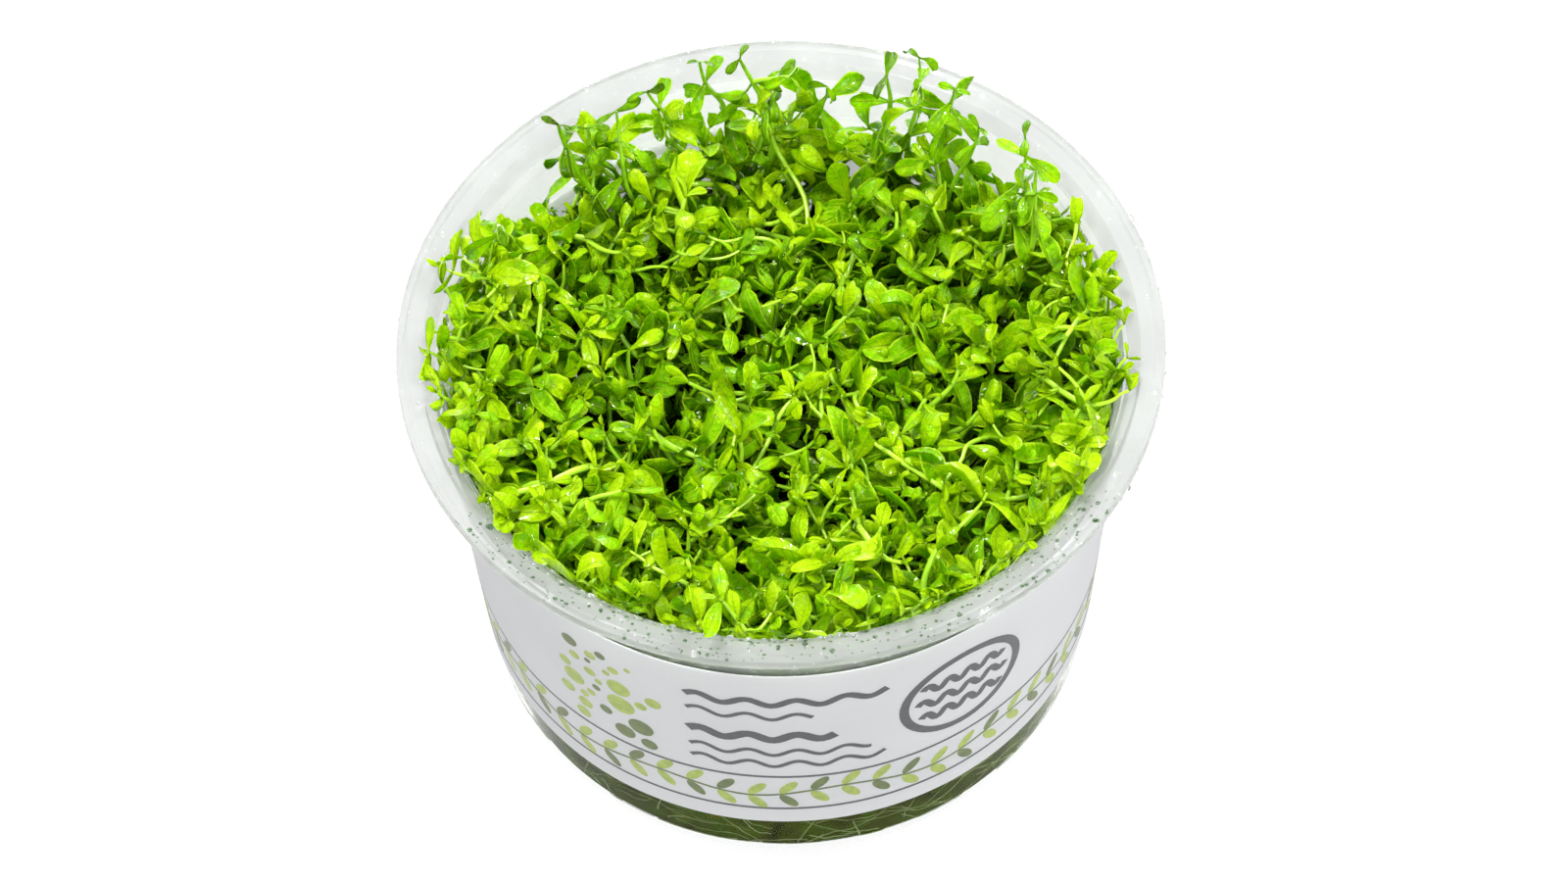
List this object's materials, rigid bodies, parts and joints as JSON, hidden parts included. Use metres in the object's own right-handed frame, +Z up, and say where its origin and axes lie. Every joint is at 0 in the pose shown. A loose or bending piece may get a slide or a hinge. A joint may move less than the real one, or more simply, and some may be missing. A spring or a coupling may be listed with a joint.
{
  "type": "pearlweed",
  "caption": "Dense stand of pearlweed plantlets with small opposite leaves, rooted in gel in a clear round flanged cup with a wrap label.",
  "frame": {"origin": "centre of the cup's foot ring, on the surface that the cup stands on", "axes": "+Z up along the cup's axis, +Y towards the side where the tall stems stand, +X to the right seen from the front"},
  "size_m": [0.101, 0.101, 0.0789],
  "materials": {
    "clear_plastic": "gloss",
    "label_film": "satin",
    "gel": "gloss",
    "foliage": "satin"
  },
  "bodies": {
    "root": {"cup": "clear_plastic", "label": "label_film", "culture_gel": "gel", "plantlet_01": "foliage", "plantlet_02": "foliage", "plantlet_03": "foliage", "plantlet_04": "foliage", "plantlet_05": "foliage", "plantlet_06": "foliage", "plantlet_07": "foliage", "plantlet_08": "foliage", "plantlet_09": "foliage", "plantlet_10": "foliage", "plantlet_11": "foliage", "plantlet_12": "foliage", "plantlet_13": "foliage", "plantlet_14": "foliage", "plantlet_15": "foliage", "plantlet_16": "foliage", "plantlet_17": "foliage", "plantlet_18": "foliage", "plantlet_19": "foliage", "plantlet_20": "foliage", "plantlet_21": "foliage", "plantlet_22": "foliage", "plantlet_23": "foliage", "plantlet_24": "foliage", "plantlet_25": "foliage", "plantlet_26": "foliage", "plantlet_27": "foliage", "plantlet_28": "foliage", "plantlet_29": "foliage", "plantlet_30": "foliage", "plantlet_31": "foliage", "plantlet_32": "foliage", "plantlet_33": "foliage", "plantlet_34": "foliage", "plantlet_35": "foliage", "plantlet_36": "foliage", "plantlet_37": "foliage", "plantlet_38": "foliage"}
  },
  "joints": []
}
